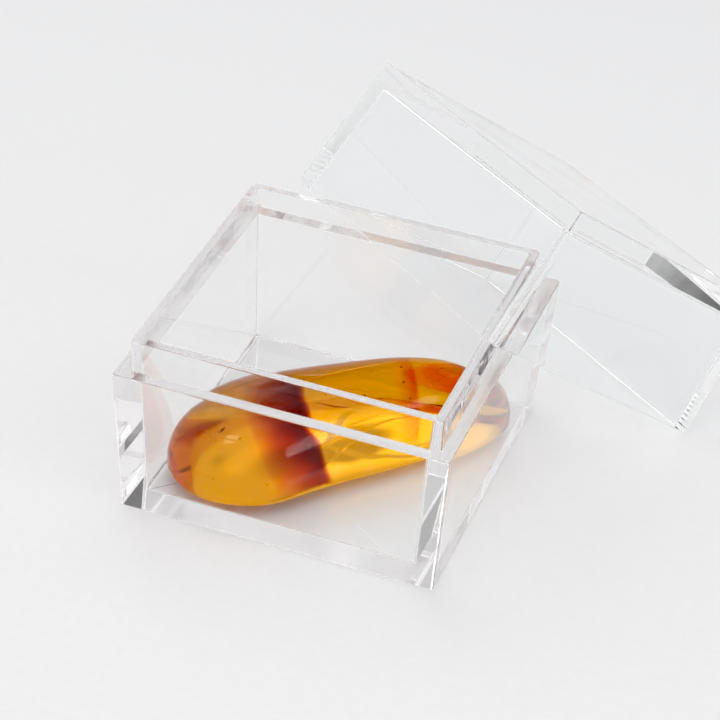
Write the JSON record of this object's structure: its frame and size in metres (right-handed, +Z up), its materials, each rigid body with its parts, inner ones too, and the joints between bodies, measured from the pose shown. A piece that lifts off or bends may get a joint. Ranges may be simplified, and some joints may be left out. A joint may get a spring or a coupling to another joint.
{
  "type": "amber specimen in open clear display box",
  "caption": "Polished amber drop with small inclusions resting in the open base of a clear square display box, its clear lid off and leaning on the base.",
  "frame": {"origin": "centre of the base's flat underside, on the surface that the object stands on", "axes": "+Z up, +X along the base's front wall to the right, +Y from the front wall to the back; the lid leans across the corner at +X and +Y"},
  "size_m": [0.0598, 0.069, 0.0359],
  "materials": {
    "clear_plastic": "polished, clear",
    "clear_plastic_lid": "polished, clear",
    "amber": "polished, see-through"
  },
  "bodies": {
    "root": {"box_base": "clear_plastic", "box_lid": "clear_plastic_lid", "amber_drop": "amber"}
  },
  "joints": []
}
